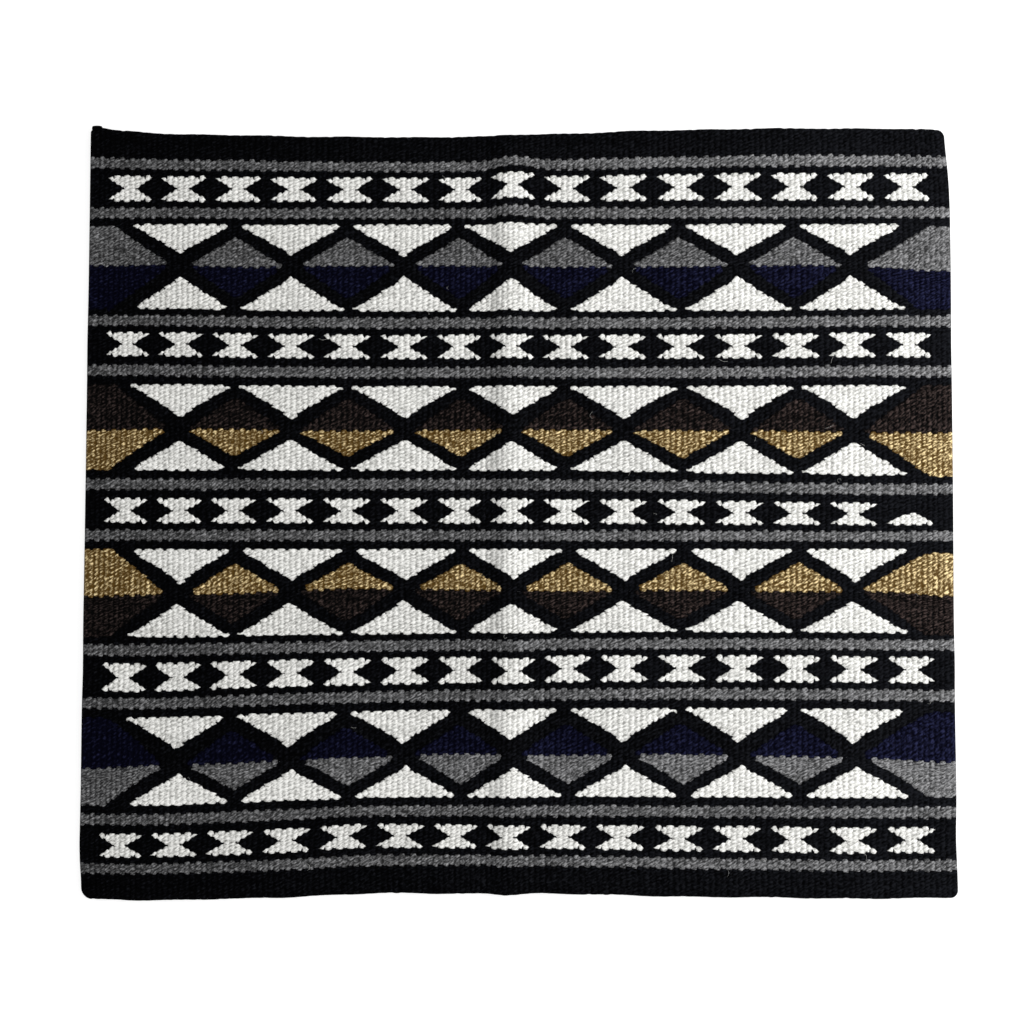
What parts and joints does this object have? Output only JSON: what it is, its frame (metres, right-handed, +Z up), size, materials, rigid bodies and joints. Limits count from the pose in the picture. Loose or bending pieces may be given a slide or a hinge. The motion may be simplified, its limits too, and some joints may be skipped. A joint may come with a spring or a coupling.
{
  "type": "saddle blanket",
  "caption": "Wool saddle blanket, tapestry woven with grey stripes, white hourglasses, triangles and diamonds on black; it folds in half along the spine crease.",
  "frame": {"origin": "on the floor, at the middle of the blanket's width and length", "axes": "+X across the horse, towards the right edge of the face; +Y along the horse's back, towards the top end of the face; +Z up, out of the face"},
  "size_m": [0.965, 0.8529, 0.0075],
  "materials": {
    "black_wool": "matte",
    "grey_wool": "matte",
    "navy_wool": "matte",
    "brown_wool": "matte",
    "gold_wool": "matte",
    "black_and_white_wool": "matte",
    "warp_cord": "matte"
  },
  "bodies": {
    "left_half": {"left_end_band_top": "black_wool", "left_grey_stripe_1": "grey_wool", "left_hourglass_band_1": "black_and_white_wool", "left_grey_stripe_2": "grey_wool", "left_triangle_band_1_upper": "grey_wool", "left_triangle_band_1_lower": "navy_wool", "left_grey_stripe_3": "grey_wool", "left_hourglass_band_2": "black_and_white_wool", "left_grey_stripe_4": "grey_wool", "left_triangle_band_2_upper": "brown_wool", "left_triangle_band_2_lower": "gold_wool", "left_grey_stripe_5": "grey_wool", "left_hourglass_band_3": "black_and_white_wool", "left_grey_stripe_6": "grey_wool", "left_triangle_band_3_upper": "gold_wool", "left_triangle_band_3_lower": "brown_wool", "left_grey_stripe_7": "grey_wool", "left_hourglass_band_4": "black_and_white_wool", "left_grey_stripe_8": "grey_wool", "left_triangle_band_4_upper": "navy_wool", "left_triangle_band_4_lower": "grey_wool", "left_grey_stripe_9": "grey_wool", "left_hourglass_band_5": "black_and_white_wool", "left_grey_stripe_10": "grey_wool", "left_end_band_bottom": "black_wool", "left_warp": "warp_cord", "left_end_cord_top": "black_wool", "left_end_cord_bottom": "black_wool", "left_end_knot": "black_wool"},
    "right_half": {"right_end_band_top": "black_wool", "right_grey_stripe_1": "grey_wool", "right_hourglass_band_1": "black_and_white_wool", "right_grey_stripe_2": "grey_wool", "right_triangle_band_1_upper": "grey_wool", "right_triangle_band_1_lower": "navy_wool", "right_grey_stripe_3": "grey_wool", "right_hourglass_band_2": "black_and_white_wool", "right_grey_stripe_4": "grey_wool", "right_triangle_band_2_upper": "brown_wool", "right_triangle_band_2_lower": "gold_wool", "right_grey_stripe_5": "grey_wool", "right_hourglass_band_3": "black_and_white_wool", "right_grey_stripe_6": "grey_wool", "right_triangle_band_3_upper": "gold_wool", "right_triangle_band_3_lower": "brown_wool", "right_grey_stripe_7": "grey_wool", "right_hourglass_band_4": "black_and_white_wool", "right_grey_stripe_8": "grey_wool", "right_triangle_band_4_upper": "navy_wool", "right_triangle_band_4_lower": "grey_wool", "right_grey_stripe_9": "grey_wool", "right_hourglass_band_5": "black_and_white_wool", "right_grey_stripe_10": "grey_wool", "right_end_band_bottom": "black_wool", "right_warp": "warp_cord", "right_end_cord_top": "black_wool", "right_end_cord_bottom": "black_wool"}
  },
  "joints": [
    {"name": "spine_fold", "type": "hinge", "parent": "left_half", "child": "right_half", "pos_m": [-0.01237, 0, 0], "axis": [0, 1, 0], "range_deg": [0, 175]}
  ]
}
